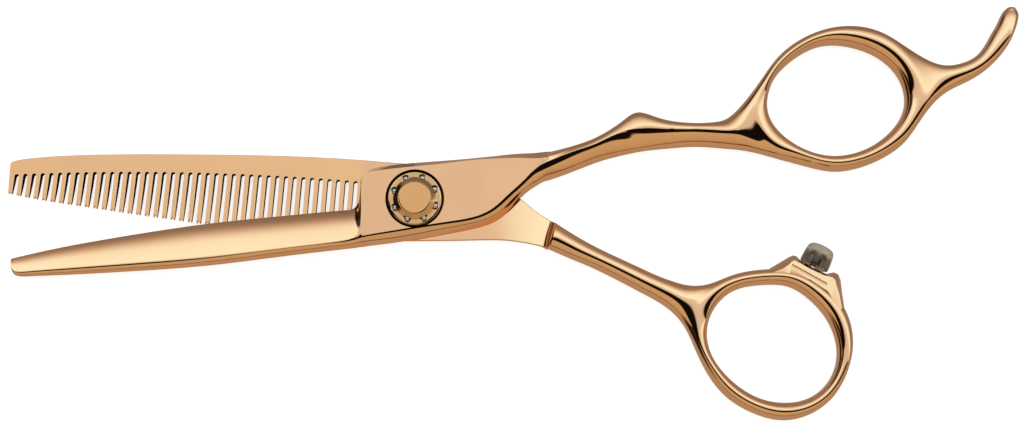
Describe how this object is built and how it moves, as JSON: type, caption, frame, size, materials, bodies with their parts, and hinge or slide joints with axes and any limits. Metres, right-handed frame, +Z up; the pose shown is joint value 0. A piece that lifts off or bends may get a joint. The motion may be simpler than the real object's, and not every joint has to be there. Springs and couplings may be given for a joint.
{
  "type": "hair thinning shears",
  "caption": "Open hair thinning shears with a solid blade, a toothed blade, a dial pivot, offset ring handles, a curved finger rest and a bumper.",
  "frame": {"origin": "on the pivot axis, at the plane the shears rest on, under the pivot stud's flat head", "axes": "+X from the pivot towards the handles, +Y towards the finger-ring side, +Z up through the dial"},
  "size_m": [0.1695, 0.0695, 0.0063],
  "materials": {
    "rose_gold": "mirror-polished rose gold coating on steel, satin on the toothed blade",
    "dial_gold": "fine turned gold coating",
    "steel": "polished bearing steel",
    "bronze": "plain machined bronze",
    "polymer": "off-white low-friction polymer",
    "bumper": "smoky translucent polymer"
  },
  "bodies": {
    "finger_half": {"finger_half": "rose_gold", "pivot_bush": "bronze", "ball_race": "steel"},
    "thumb_half": {"thumb_half": "rose_gold", "pivot_stud": "steel", "glide_washer": "polymer", "lock_screw": "steel"},
    "tension_dial": {"tension_dial": "dial_gold", "dial_cap": "dial_gold", "tension_nut": "bronze", "tension_spring": "steel", "ball_1": "steel", "ball_2": "steel", "ball_3": "steel", "ball_4": "steel", "ball_5": "steel", "ball_6": "steel", "ball_7": "steel", "ball_8": "steel"},
    "bumper": {"bumper": "bumper", "bumper_stem": "steel"}
  },
  "joints": [
    {"name": "blade_pivot", "type": "hinge", "parent": "finger_half", "child": "thumb_half", "pos_m": [0, 0, 0.0028], "axis": [0, 0, 1], "range_deg": [-60, 10.2]},
    {"name": "dial_turn", "type": "hinge", "parent": "thumb_half", "child": "tension_dial", "pos_m": [0, 0, 0.005], "axis": [0, 0, 1], "range_deg": [-180, 180]},
    {"name": "bumper_turn", "type": "hinge", "parent": "thumb_half", "child": "bumper", "pos_m": [0.0662, -0.0111, 0.0028], "axis": [0.4384, 0.8988, 0], "range_deg": [-90, 90]}
  ]
}
